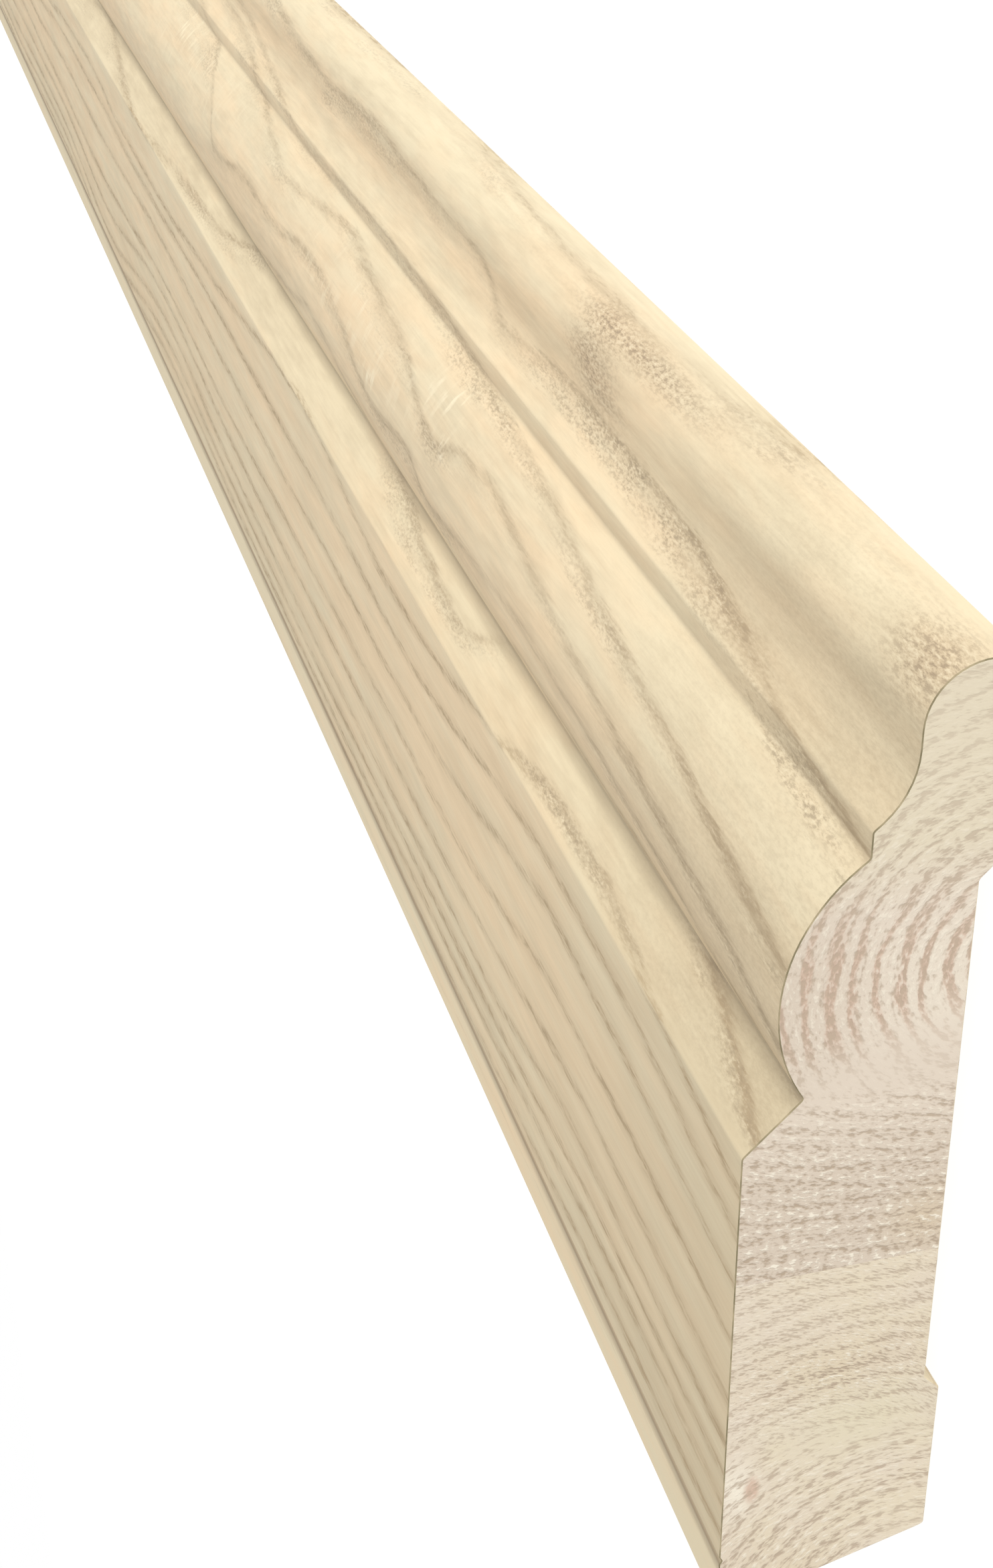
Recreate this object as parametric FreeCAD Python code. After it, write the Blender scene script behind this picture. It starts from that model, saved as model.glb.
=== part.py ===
# A length of moulded pine skirting board, milled from one piece of wood.
# It lies on its back as stock lies on a floor: +X runs along the length, +Y towards the edge that is
# uppermost on a wall, and +Z out of the moulded face. The origin is under the middle, on the floor.
# All sizes are in millimetres.

import FreeCAD
import Part
import os
from math import acos, asin, cos, pi, sin, sqrt

NODE_NAME = "skirting_board"

# Outer sizes of the board
LENGTH = 2400.0
HEIGHT = 95.0
THICKNESS = 20.0

# Nose: the round at the front of the top edge, which runs down into the short upright neck
NOSE_RADIUS = 5.35
NECK_LENGTH = 1.65

# Cove: the hollow that flares out from the neck to the fillet, a narrow upright step
COVE_RADIUS = 8.0
NECK_SETBACK = 3.35
FILLET_LENGTH = 2.4

# Ovolo: the large bulge, which runs down into a sharp inner corner, the quirk
OVOLO_RADIUS = 16.0
OVOLO_SETBACK = 2.4
FILLET_SETBACK = 6.75
QUIRK_CUT = 2.6

# Base band: the narrow strip along the floor, cut off from the flat face by a fine groove
BAND_HEIGHT = 6.2
BAND_LEAN = 0.25
GROOVE_WIDTH = 0.6
GROOVE_DEPTH = 0.35

# Underside: cut on a slope, so that only the front edge meets the floor
UNDERCUT_RISE = 5.5

# Relief: the shallow channel along the back, which lets the board bridge an uneven wall
RELIEF_DEPTH = 1.5
LOWER_LAND_HEIGHT = 17.0
UPPER_LAND_HEIGHT = 17.9

# Depths behind the flat face, each worked out from the member in front of it
CROWN_DEPTH = OVOLO_SETBACK
QUIRK_DEPTH = CROWN_DEPTH + QUIRK_CUT
FILLET_DEPTH = CROWN_DEPTH + FILLET_SETBACK
NECK_DEPTH = FILLET_DEPTH + NECK_SETBACK


def section_point(depth, rise):
    """A point of the cross-section: depth is behind the face, rise is above the floor edge."""
    return FreeCAD.Vector(-LENGTH / 2, rise - HEIGHT / 2, THICKNESS - depth)


def line(start, end):
    """A straight edge between two (depth, rise) pairs."""
    return Part.LineSegment(section_point(*start), section_point(*end)).toShape()


def on_circle(centre, radius, angle):
    """The (depth, rise) pair on a circle. Angle 0 points to the back, a quarter turn points up."""
    return (centre[0] + radius * cos(angle), centre[1] + radius * sin(angle))


def arc(centre, radius, start_angle, end_angle):
    """A round edge about a (depth, rise) centre, from one angle to another."""
    angles = (start_angle, (start_angle + end_angle) / 2, end_angle)
    return Part.Arc(*(section_point(*on_circle(centre, radius, a)) for a in angles)).toShape()


def top_edges():
    """From the back: the flat top, the nose in front of it and the neck below that."""
    centre = (NECK_DEPTH + NOSE_RADIUS, HEIGHT - NOSE_RADIUS)
    neck_top = (NECK_DEPTH, centre[1])
    neck_foot = (NECK_DEPTH, centre[1] - NECK_LENGTH)
    if THICKNESS > centre[0]:
        back_corner = (THICKNESS, HEIGHT)
        nose_angle = pi / 2
        flat_top = [line(back_corner, (centre[0], HEIGHT))]
    else:
        # On a thin board the back cuts into the nose, and no flat is left behind it
        nose_angle = acos((THICKNESS - centre[0]) / NOSE_RADIUS)
        back_corner = on_circle(centre, NOSE_RADIUS, nose_angle)
        flat_top = []
    edges = flat_top + [arc(centre, NOSE_RADIUS, nose_angle, pi), line(neck_top, neck_foot)]
    return back_corner, neck_foot, edges


def cove_edges(neck_foot):
    """The hollow from the neck out to the fillet, tangent to the neck, and the upright fillet."""
    centre = (NECK_DEPTH - COVE_RADIUS, neck_foot[1])
    end_angle = -acos((COVE_RADIUS - NECK_SETBACK) / COVE_RADIUS)
    fillet_top = on_circle(centre, COVE_RADIUS, end_angle)
    fillet_foot = (FILLET_DEPTH, fillet_top[1] - FILLET_LENGTH)
    return fillet_foot, [arc(centre, COVE_RADIUS, 0.0, end_angle), line(fillet_top, fillet_foot)]


def ovolo_edges(fillet_foot):
    """The bulge from the fillet round to the quirk, and the 45 degree splay from there to the face."""
    upper_rise = sqrt(OVOLO_RADIUS**2 - (OVOLO_RADIUS - FILLET_SETBACK) ** 2)
    lower_drop = sqrt(OVOLO_RADIUS**2 - (OVOLO_RADIUS - QUIRK_CUT) ** 2)
    centre = (CROWN_DEPTH + OVOLO_RADIUS, fillet_foot[1] - upper_rise)
    start_angle = pi - asin(upper_rise / OVOLO_RADIUS)
    end_angle = pi + asin(lower_drop / OVOLO_RADIUS)
    quirk = on_circle(centre, OVOLO_RADIUS, end_angle)
    face_top = (0.0, quirk[1] - QUIRK_DEPTH)
    return face_top, [arc(centre, OVOLO_RADIUS, start_angle, end_angle), line(quirk, face_top)]


def face_edges(face_top):
    """The flat face, the fine V groove under it and the base band, which leans in to the floor edge."""
    groove_top = (0.0, BAND_HEIGHT + GROOVE_WIDTH)
    groove_root = (GROOVE_DEPTH, BAND_HEIGHT + GROOVE_WIDTH / 2)
    band_top = (0.0, BAND_HEIGHT)
    floor_edge = (BAND_LEAN, 0.0)
    corners = [face_top, groove_top, groove_root, band_top, floor_edge]
    return floor_edge, [line(a, b) for a, b in zip(corners, corners[1:])]


def back_edges(floor_edge, back_corner):
    """The undercut underside, then up the back: lower land, relief channel and upper land."""
    channel_depth = THICKNESS - RELIEF_DEPTH
    lower_land_top = UNDERCUT_RISE + LOWER_LAND_HEIGHT
    upper_land_foot = HEIGHT - UPPER_LAND_HEIGHT
    corners = [
        floor_edge,
        (THICKNESS, UNDERCUT_RISE),
        (THICKNESS, lower_land_top),
        (channel_depth, lower_land_top + RELIEF_DEPTH),
        (channel_depth, upper_land_foot - RELIEF_DEPTH),
        (THICKNESS, upper_land_foot),
        back_corner,
    ]
    return [line(a, b) for a, b in zip(corners, corners[1:])]


def section():
    """The closed cross-section as one flat face, drawn from the back corner down the front."""
    back_corner, neck_foot, top = top_edges()
    fillet_foot, cove = cove_edges(neck_foot)
    face_top, ovolo = ovolo_edges(fillet_foot)
    floor_edge, face = face_edges(face_top)
    back = back_edges(floor_edge, back_corner)
    return Part.Face(Part.Wire(top + cove + ovolo + face + back))


def skirting_board():
    """The section run along the whole length, with both ends sawn square."""
    return section().extrude(FreeCAD.Vector(LENGTH, 0, 0))


board = skirting_board()
os.makedirs("parts", exist_ok=True)
board.exportStep(os.path.join("parts", NODE_NAME + ".step"))
box = board.BoundBox
print("valid", board.isValid(), "solids", len(board.Solids), "volume cm3", round(board.Volume / 1000, 1))
print("box", [round(v, 3) for v in (box.XMin, box.YMin, box.ZMin, box.XMax, box.YMax, box.ZMax)])
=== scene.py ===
# %% [markdown]
# # A length of moulded pine skirting board
#
# The board comes in as one plain solid, lying on its back on the floor. This lesson dresses it: it rebuilds
# the milled surface finely enough for its curves to look smooth, works out where the growth rings of the
# tree come through that surface, and paints the planed faces and the sawn ends from them. It also sets up
# the camera, the floor and the light.

# %% The frame
from math import radians

import bpy
import numpy as np
from mathutils import Matrix, Vector


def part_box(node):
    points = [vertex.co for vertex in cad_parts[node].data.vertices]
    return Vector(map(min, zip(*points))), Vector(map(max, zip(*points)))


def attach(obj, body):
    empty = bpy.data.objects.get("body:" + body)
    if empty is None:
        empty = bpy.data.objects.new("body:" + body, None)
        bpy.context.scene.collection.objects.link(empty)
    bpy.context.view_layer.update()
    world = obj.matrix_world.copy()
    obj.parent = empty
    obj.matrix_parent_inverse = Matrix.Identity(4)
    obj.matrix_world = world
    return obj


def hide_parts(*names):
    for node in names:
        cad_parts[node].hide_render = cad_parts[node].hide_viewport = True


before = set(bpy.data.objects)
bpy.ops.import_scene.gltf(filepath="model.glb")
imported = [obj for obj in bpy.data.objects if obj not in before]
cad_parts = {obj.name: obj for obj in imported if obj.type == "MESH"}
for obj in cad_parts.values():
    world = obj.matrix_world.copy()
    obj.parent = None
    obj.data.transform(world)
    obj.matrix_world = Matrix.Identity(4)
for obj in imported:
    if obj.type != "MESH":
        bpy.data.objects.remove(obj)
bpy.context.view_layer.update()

MM_PER_M = 1000.0

low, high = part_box("skirting_board")
LENGTH = (high.x - low.x) * MM_PER_M
HEIGHT = (high.y - low.y) * MM_PER_M
THICKNESS = (high.z - low.z) * MM_PER_M
print(f"board in millimetres: {LENGTH:.1f} long, {HEIGHT:.1f} high, {THICKNESS:.1f} thick")

# %% [markdown]
# ## The camera
#
# The camera stands a hand's breadth off the sawn end and looks back along the moulded face. It is turned on
# its side, so that the edge that is uppermost on a wall is also uppermost in the picture. A camera's matrix
# holds four columns: its right, its up, the way opposite to its look, and its place. The third is the cross
# product of the first two, so two directions and a place give an exact view, with no angles to juggle.

# %% Camera
CAMERA_PLACE = Vector((1.34112, 0.12628, 0.07895))
CAMERA_RIGHT = Vector((0.26789, -0.00640, -0.96343))
CAMERA_UP = Vector((-0.47569, 0.86871, -0.13804))
LENS = 54.71
SENSOR = 36.0
NEAR_CLIP = 0.005

camera_data = bpy.data.cameras.new("camera")
camera_data.lens = LENS
camera_data.sensor_width = SENSOR
camera_data.clip_start = NEAR_CLIP
camera = bpy.data.objects.new("camera", camera_data)
bpy.context.scene.collection.objects.link(camera)
right = CAMERA_RIGHT.normalized()
back = right.cross(CAMERA_UP).normalized()
turn = Matrix((right, back.cross(right), back)).transposed()
camera.matrix_world = Matrix.Translation(CAMERA_PLACE) @ turn.to_4x4()
bpy.context.scene.camera = camera
print("the camera looks along", [round(-v, 3) for v in back])

# %% [markdown]
# ## Floor and light
#
# The board lies on a plain white light table in a white room, as small stock is photographed for a
# catalogue. The table glows a little of itself, so the shadow under the board stays soft and pale. The
# light is one big lamp, low on the side of the board's moulded edge, so that the faces that turn that way
# are brightest and the flat face is a shade darker. The picture is shown with the Standard view transform,
# in which a lit value of 1 is plain white: the default transform would turn a white table grey.

# %% Floor
WHITE = (1.0, 1.0, 1.0, 1.0)
FLOOR_REACH = 12.0
FLOOR_GAP = 0.0002
FLOOR_GREY = (0.12, 0.12, 0.12, 1.0)
FLOOR_ROUGHNESS = 0.9
FLOOR_GLOW = 0.93

floor_mesh = bpy.data.meshes.new("floor")
corners = [(-1, -1), (1, -1), (1, 1), (-1, 1)]
floor_points = [(x * FLOOR_REACH, y * FLOOR_REACH, -FLOOR_GAP) for x, y in corners]
floor_mesh.from_pydata(floor_points, [], [(0, 1, 2, 3)])
floor_paint = bpy.data.materials.new("floor_paint")
floor_paint.use_nodes = True
floor_shader = floor_paint.node_tree.nodes["Principled BSDF"]
floor_shader.inputs["Base Color"].default_value = FLOOR_GREY
floor_shader.inputs["Roughness"].default_value = FLOOR_ROUGHNESS
floor_shader.inputs["Specular IOR Level"].default_value = 0.0
floor_shader.inputs["Emission Color"].default_value = WHITE
floor_shader.inputs["Emission Strength"].default_value = FLOOR_GLOW
floor_mesh.materials.append(floor_paint)
floor = bpy.data.objects.new("floor", floor_mesh)
bpy.context.scene.collection.objects.link(floor)
print(f"floor {2 * FLOOR_REACH:.0f} m each way")

# %% Light
ROOM_LIGHT = 0.78
ROOM_SEEN = 1.0
KEY_PLACE = Vector((1.9, 2.6, 1.15))
KEY_AIM = Vector((0.9, 0.0, 0.0))
KEY_POWER = 62.0
KEY_SIZE = (3.2, 1.6)

room = bpy.data.worlds.new("white_room")
room.use_nodes = True
room_nodes = room.node_tree.nodes
room_path = room_nodes.new("ShaderNodeLightPath")
room_strength = room_nodes.new("ShaderNodeMapRange")
room_strength.inputs["To Min"].default_value = ROOM_LIGHT
room_strength.inputs["To Max"].default_value = ROOM_SEEN
room.node_tree.links.new(room_path.outputs["Is Camera Ray"], room_strength.inputs["Value"])
room.node_tree.links.new(room_strength.outputs["Result"], room_nodes["Background"].inputs["Strength"])
room_nodes["Background"].inputs["Color"].default_value = WHITE
bpy.context.scene.world = room

key_data = bpy.data.lights.new("key_light", "AREA")
key_data.shape = "RECTANGLE"
key_data.size, key_data.size_y = KEY_SIZE
key_data.energy = KEY_POWER
key = bpy.data.objects.new("key_light", key_data)
key.location = KEY_PLACE
key.rotation_euler = (KEY_AIM - KEY_PLACE).to_track_quat("-Z", "Y").to_euler()
bpy.context.scene.collection.objects.link(key)
bpy.context.scene.view_settings.view_transform = "Standard"
print(f"key light {(KEY_AIM - KEY_PLACE).length:.1f} m from what it aims at")

# %% [markdown]
# ## The section
#
# A moulding is planed by cutters that each leave one member of the section: from the top, a nose, a neck, a
# cove, a fillet, an ovolo, a quirk, a splay, a flat face, a groove and a base band. Every member can be
# written as a formula for the depth behind the flat face at a given rise above the floor edge, so the whole
# front is one function of the rise, and the back is another. A list of points would do too, but a function
# can be sampled finely on the curves and coarsely on the flats, and its sharp corners can be eased by
# averaging it.

# %% Sizes of the section, in millimetres
NOSE_RADIUS = 5.35
NECK_LENGTH = 1.65
COVE_RADIUS = 8.0
NECK_SETBACK = 3.35
FILLET_LENGTH = 2.4
OVOLO_RADIUS = 16.0
OVOLO_SETBACK = 2.4
FILLET_SETBACK = 6.75
QUIRK_CUT = 2.6
BAND_HEIGHT = 6.2
BAND_LEAN = 0.25
GROOVE_WIDTH = 0.6
GROOVE_DEPTH = 0.35
UNDERCUT_RISE = 5.5
RELIEF_DEPTH = 1.5
LOWER_LAND_HEIGHT = 17.0
UPPER_LAND_HEIGHT = 17.9

quirk_depth = OVOLO_SETBACK + QUIRK_CUT
fillet_depth = OVOLO_SETBACK + FILLET_SETBACK
neck_depth = fillet_depth + NECK_SETBACK
nose_depth = neck_depth + NOSE_RADIUS


def half_chord(radius, setback):
    """Half a chord so far in from the circle's rim: the root of r squared less (r - setback) squared."""
    return np.sqrt(radius**2 - (radius - setback) ** 2)


nose_rise = HEIGHT - NOSE_RADIUS
neck_foot = nose_rise - NECK_LENGTH
fillet_top = neck_foot - half_chord(COVE_RADIUS, NECK_SETBACK)
fillet_foot = fillet_top - FILLET_LENGTH
ovolo_rise = fillet_foot - half_chord(OVOLO_RADIUS, FILLET_SETBACK)
quirk_rise = ovolo_rise - half_chord(OVOLO_RADIUS, QUIRK_CUT)
face_top = quirk_rise - quirk_depth
face_foot = BAND_HEIGHT + GROOVE_WIDTH
groove_rise = BAND_HEIGHT + GROOVE_WIDTH / 2
channel_foot = UNDERCUT_RISE + LOWER_LAND_HEIGHT
channel_top = HEIGHT - UPPER_LAND_HEIGHT
print(f"the flat face runs from {face_foot:.1f} to {face_top:.2f}, the quirk is at {quirk_rise:.2f}")


# %% Depth of the front and of the back
def bulge(rise, centre, radius):
    """How far a circle stands out at a rise: the root of r squared less (rise - centre) squared."""
    return np.sqrt(np.maximum(radius**2 - (rise - centre) ** 2, 0.0))


def front_depth(rise):
    """Depth behind the flat face, by member: linear in the rise where straight, circles where round."""
    groove = GROOVE_DEPTH * np.maximum(1 - np.abs(rise - groove_rise) / (GROOVE_WIDTH / 2), 0)
    members = [
        (rise < BAND_HEIGHT, BAND_LEAN * (1 - rise / BAND_HEIGHT)),
        (rise < face_top, groove),
        (rise < quirk_rise, rise - face_top),
        (rise < fillet_foot, OVOLO_SETBACK + OVOLO_RADIUS - bulge(rise, ovolo_rise, OVOLO_RADIUS)),
        (rise < fillet_top, np.full_like(rise, fillet_depth)),
        (rise < neck_foot, neck_depth - COVE_RADIUS + bulge(rise, neck_foot, COVE_RADIUS)),
        (rise < nose_rise, np.full_like(rise, neck_depth)),
    ]
    nose = nose_depth - bulge(rise, nose_rise, NOSE_RADIUS)
    return np.select([test for test, _ in members], [depth for _, depth in members], nose)


back_corners = [
    UNDERCUT_RISE,
    channel_foot,
    channel_foot + RELIEF_DEPTH,
    channel_top - RELIEF_DEPTH,
    channel_top,
]


def back_depth(rise):
    """Depth of the underside, the lower land, the relief channel and the upper land, as straight pieces."""
    channel = THICKNESS - RELIEF_DEPTH
    return np.interp(rise, [0, *back_corners], [BAND_LEAN, THICKNESS, THICKNESS, channel, channel, THICKNESS])


EASE = 0.2
EASE_SAMPLES = 9


def eased(depth, rise):
    """The mean of a depth over a short stretch either side of each rise, which rounds every sharp corner."""
    reach = EASE * np.clip((nose_rise - rise) / EASE, 0, 1) * np.clip(rise / EASE, 0, 1)
    return np.mean([depth(rise + reach * share) for share in np.linspace(-1, 1, EASE_SAMPLES)], axis=0)


# %% [markdown]
# ## The outline
#
# The outline goes once round the section, from the back of the top edge down the front and up the back
# again. Its points crowd round each corner, so that the easing shows as a small soft arris, and they are
# spaced by angle on the round members.

# %% Outline of the section
CORNER_STEPS = EASE * np.array([-1.2, -0.7, -0.3, 0.3, 0.7, 1.2])
LEAST_STEP = EASE / 5
BAND_POINTS, FACE_POINTS, SPLAY_POINTS = 5, 17, 5
OVOLO_POINTS, COVE_POINTS, NOSE_POINTS = 24, 9, 13
UNDERSIDE_POINTS, BACK_POINTS = 9, 26


def with_corners(rises, corners):
    """The rises with a few more beside each corner, sorted, and with any that nearly coincide dropped."""
    near = (np.array(corners)[:, None] + CORNER_STEPS).ravel()
    every = np.sort(np.concatenate([rises, near]))
    every = every[(every >= 0) & (every <= HEIGHT)]
    return every[np.append(True, np.diff(every) > LEAST_STEP)]


def round_rises(centre, radius, first, last, count):
    """Rises on a circle: the centre plus the radius times the sine of even angles between two rises of it."""
    angles = np.arcsin((np.array([first, last]) - centre) / radius)
    return centre + radius * np.sin(np.linspace(*angles, count))


def front_rises():
    """Even steps on the straight members, and even angles on the round ones."""
    members = [
        np.linspace(0, BAND_HEIGHT, BAND_POINTS),
        np.linspace(face_foot, face_top, FACE_POINTS),
        np.linspace(face_top, quirk_rise, SPLAY_POINTS),
        round_rises(ovolo_rise, OVOLO_RADIUS, quirk_rise, fillet_foot, OVOLO_POINTS),
        round_rises(neck_foot, COVE_RADIUS, neck_foot, fillet_top, COVE_POINTS),
        round_rises(nose_rise, NOSE_RADIUS, nose_rise, HEIGHT, NOSE_POINTS),
    ]
    corners = [BAND_HEIGHT, groove_rise, face_foot, face_top, quirk_rise, fillet_foot, fillet_top]
    return with_corners(np.concatenate(members), corners)


def back_rises():
    """Even steps up the underside and the back."""
    steps = [
        np.linspace(0, UNDERCUT_RISE, UNDERSIDE_POINTS),
        np.linspace(UNDERCUT_RISE, HEIGHT, BACK_POINTS),
    ]
    return with_corners(np.concatenate(steps), back_corners)


down, up = front_rises()[::-1], back_rises()[1:]
outline = np.concatenate([
    np.stack([eased(front_depth, down), down], axis=1),
    np.stack([eased(back_depth, up), up], axis=1),
])
steps = np.linalg.norm(np.diff(outline, axis=0), axis=1)
over = np.append(0.0, np.cumsum(steps)) + THICKNESS - nose_depth
girth = over[-1]
floor_edge = over[len(down) - 1]
print(f"{len(outline)} points round the outline, {floor_edge:.1f} mm down the front, {girth:.1f} mm in all")

# %% [markdown]
# ## The board's surface
#
# Planed stock is an extrusion, so the long faces are a grid: stations along the length one way, the outline
# the other way. Where the camera stands close the stations are close together, because the growth rings are
# kept per point and wander within a few millimetres. A saw leaves a thin crushed arris round each end, so
# the last strip of the grid turns in by the same small distance, and one flat face closes each end.

# %% Stations along the length
ARRIS = 0.1
FINE_REACH = 360.0
FINE_STEP = 2.3
COARSE_STEP = 8.0
STRETCHES = 3
STRETCH = LENGTH / STRETCHES
STATION_DECIMALS = 4

end = LENGTH / 2
reaches = [
    (-end + ARRIS, -STRETCH / 2, COARSE_STEP),
    (-STRETCH / 2, STRETCH / 2, COARSE_STEP),
    (STRETCH / 2, end - FINE_REACH, COARSE_STEP),
    (end - FINE_REACH, end - ARRIS, FINE_STEP),
]
spans = [np.linspace(start, stop, int(np.ceil((stop - start) / step)) + 1) for start, stop, step in reaches]
stations = np.unique(np.round(np.concatenate([[-end], *spans, [end]]), STATION_DECIMALS))
print(f"{len(stations)} stations, {len(stations) * len(outline)} points")


# %% The grid of points
def turned_in(loop, distance):
    """A loop moved inwards: each point's neighbours' difference, turned a quarter turn, times distance."""
    along = np.roll(loop, -1, axis=0) - np.roll(loop, 1, axis=0)
    inward = np.stack([-along[:, 1], along[:, 0]], axis=1)
    return loop + distance * inward / np.linalg.norm(inward, axis=1, keepdims=True)


def swept(loop, places):
    """A section carried along x: rise becomes y from the middle, and depth is taken down from the top."""
    points = np.empty((len(places), len(loop), 3))
    points[..., 0] = places[:, None]
    points[..., 1] = loop[None, :, 1] - HEIGHT / 2
    points[..., 2] = THICKNESS - loop[None, :, 0]
    rim = turned_in(loop, ARRIS)
    points[[0, -1], :, 1] = rim[:, 1] - HEIGHT / 2
    points[[0, -1], :, 2] = THICKNESS - rim[:, 0]
    return points / MM_PER_M


SHARP_ANGLE = radians(32)

points = swept(outline, stations)
rows, around = points.shape[:2]
number = np.arange(rows * around).reshape(rows, around)
beside = np.roll(number, -1, axis=1)
quads = np.stack([number[:-1], beside[:-1], beside[1:], number[1:]], axis=-1).reshape(-1, 4)
ends = [number[0, ::-1].tolist(), number[-1].tolist()]

board_mesh = bpy.data.meshes.new("moulded_board")
board_mesh.from_pydata(points.reshape(-1, 3), [], quads.tolist() + ends)
board_mesh.shade_smooth()
board_mesh.set_sharp_from_angle(angle=SHARP_ANGLE)
print(f"{len(quads)} quads and {len(ends)} end faces, {2 * len(quads) + 2 * around} triangles")

# %% [markdown]
# ## Where the growth rings come out
#
# Every dark line on the planed faces is the edge of one year's growth, cut through by the planer. On the
# flat face the cut crosses the rings steeply and the lines are thin. On the moulding it runs almost along
# them, and one ring spreads into a broad wavy band. A wave or noise texture gives lines of one kind all
# over. Here a few rings are drawn as guide courses: how far over the face the ring lies at each distance
# from the end. All the others are spread evenly between their neighbours, so they can never cross. Each
# guide also has a home, the distance over the face that it keeps to on the whole, and far from the end it
# goes on along its home in smooth seeded swells.

# %% Guide courses: the ring's home, then distances from the photographed end and distances over the face
GUIDE_COURSES = [
    (2.0, [0, 30, 42, 55, 75, 100, 130, 160], [-6, -3, 0.4, 2.3, 3.2, 3.3, 2.4, -1]),
    (11.5, [0, 15, 30, 50, 90, 113, 124, 150, 185, 210, 250, 285, 320],
     [22.5, 20.5, 18.0, 15.0, 14.3, 16.3, 11.2, 10.8, 9.5, 11.0, 7.0, 3.0, -2.0]),
    (21.5, [0, 30, 55, 75, 100, 130, 160, 215, 235, 255, 275, 300],
     [33.5, 30.0, 27.6, 25.0, 23.0, 20.6, 20, 21, 17.8, 14.8, 11.8, 10]),
    (27.5, [0, 10, 40, 70, 90, 105, 110, 118, 135, 150, 175, 212, 240, 255, 275, 300],
     [41, 37.5, 34.6, 32.0, 29.2, 30.0, 33.0, 32.0, 27.5, 26.6, 23.8, 27.2, 22.6, 19.3, 14.5, 13.5]),
    (38.0, [0, 25, 50, 75, 95, 115, 122, 142, 160, 175, 190, 206, 240, 252, 264, 267, 285, 310],
     [46, 41, 38.4, 37.6, 38.6, 41, 36.3, 38.8, 34, 31.6, 31.4, 34, 33.4, 35.8, 36.3, 31.5, 23.8, 20.5]),
    (46.5, [0, 30, 78, 95, 120, 155, 172, 185, 193, 225, 245, 262, 300, 345, 380, 420, 455],
     [52, 44, 43, 51, 49, 43.5, 39.4, 38.0, 40.5, 43, 49, 51, 52.6, 55.8, 54, 49.5, 52.5]),
    (56.8, [0, 20, 40, 60, 75, 90, 110, 130, 145, 160, 180, 200, 240, 280, 320, 380, 430, 500],
     [57.3, 53.8, 51.5, 51.4, 53.7, 56, 58.3, 58.7, 56.7, 54.7, 53.3, 54.4, 58.5, 61.5, 63.3, 63.5, 60, 62]),
    (63.7, [0, 27, 55, 75, 95, 110, 130, 160, 200], [61.7, 58, 57.4, 59, 62.3, 63.8, 64.1, 63.2, 63.6]),
    (71.5, [0, 30, 55, 70, 85, 100, 130, 165, 200], [66.7, 64, 63.1, 65, 68, 69.9, 70.9, 70.8, 72]),
    (78.3, [0, 30, 55, 75, 90, 120, 150, 200, 245, 280, 330, 420, 470],
     [73.3, 71.8, 71.8, 74.7, 76.7, 77.1, 78.3, 79, 81.0, 80.7, 82, 80, 81]),
    (84.5, [0, 40, 60, 75, 100, 130, 200], [80, 78.4, 79.7, 81.4, 82.9, 83.5, 85.3]),
    (90.0, [0, 50, 62, 75, 100, 160, 200], [84.8, 84.4, 86.3, 88.2, 89, 90, 90.7]),
    (94.0, [0, 35, 60, 80, 130, 200], [88.8, 88.8, 90.6, 91.6, 93, 94.7]),
    (97.0, [0, 35, 60, 90, 130, 180], [91.9, 91.7, 93.2, 95.3, 96.5, 97.6]),
    (101.0, [0, 40, 80, 110], [96.1, 96.8, 98.1, 99.4]),
]
guide_homes = np.array([home for home, _, _ in GUIDE_COURSES])
RING_HOMES = [-22, -10, *guide_homes, 106, 112]
print(len(RING_HOMES), "rings, with their homes", RING_HOMES[0], "to", RING_HOMES[-1], "mm over the face")

# %% Seeded swells for the rest of the length
SWELL_COUNT = 110
SWELL_SEED = 23
SWELLS_FROM = 280
SWELLS_OVER = 100
SWELL_REACH = (22, 110)
SWELL_WIDTH = (9, 20)
MOULDED_HOMES = 52
MOULDED_LIFT, FLAT_LIFT = 5.0, 2.0

dice = np.random.default_rng(SWELL_SEED)
swell_place = dice.uniform(SWELLS_FROM, LENGTH, SWELL_COUNT)
swell_home = dice.uniform(0, SWELLS_OVER, SWELL_COUNT)
swell_reach = dice.uniform(*SWELL_REACH, SWELL_COUNT)
swell_width = dice.uniform(*SWELL_WIDTH, SWELL_COUNT)
swell_lift = dice.normal(0, 1, SWELL_COUNT) * np.where(swell_home < MOULDED_HOMES, MOULDED_LIFT, FLAT_LIFT)
print(f"swells lift a ring by up to {np.abs(swell_lift).max():.1f} mm")


def swells(from_end, home):
    """The sum of bell-shaped swells: lift times a bell of the distance along and a bell of the home."""
    along = np.exp(-(((from_end[:, None] - swell_place) / swell_reach) ** 2))
    return along @ (swell_lift * np.exp(-(((home - swell_home) / swell_width) ** 2)))


# %% Courses for the whole length
CORNER_ROUNDING = 2.5
ROUNDING_SAMPLES = 7
HAND_OVER = 150.0
LEAST_SHARE = 0.35


def smooth_step(value):
    """Nought below 0 and one above 1, with the cubic 3t squared less 2t cubed between them."""
    t = np.clip(value, 0, 1)
    return t * t * (3 - 2 * t)


def course(from_end, home, places, overs):
    """A guide's drawn course, corners rounded by a moving mean, handed over to its home plus the swells."""
    shifts = np.linspace(-CORNER_ROUNDING, CORNER_ROUNDING, ROUNDING_SAMPLES)
    drawn = np.mean([np.interp(from_end + shift, places, overs) for shift in shifts], axis=0)
    gone = smooth_step((from_end - places[-1]) / HAND_OVER)
    return drawn * (1 - gone) + home * gone + swells(from_end, home)


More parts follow.
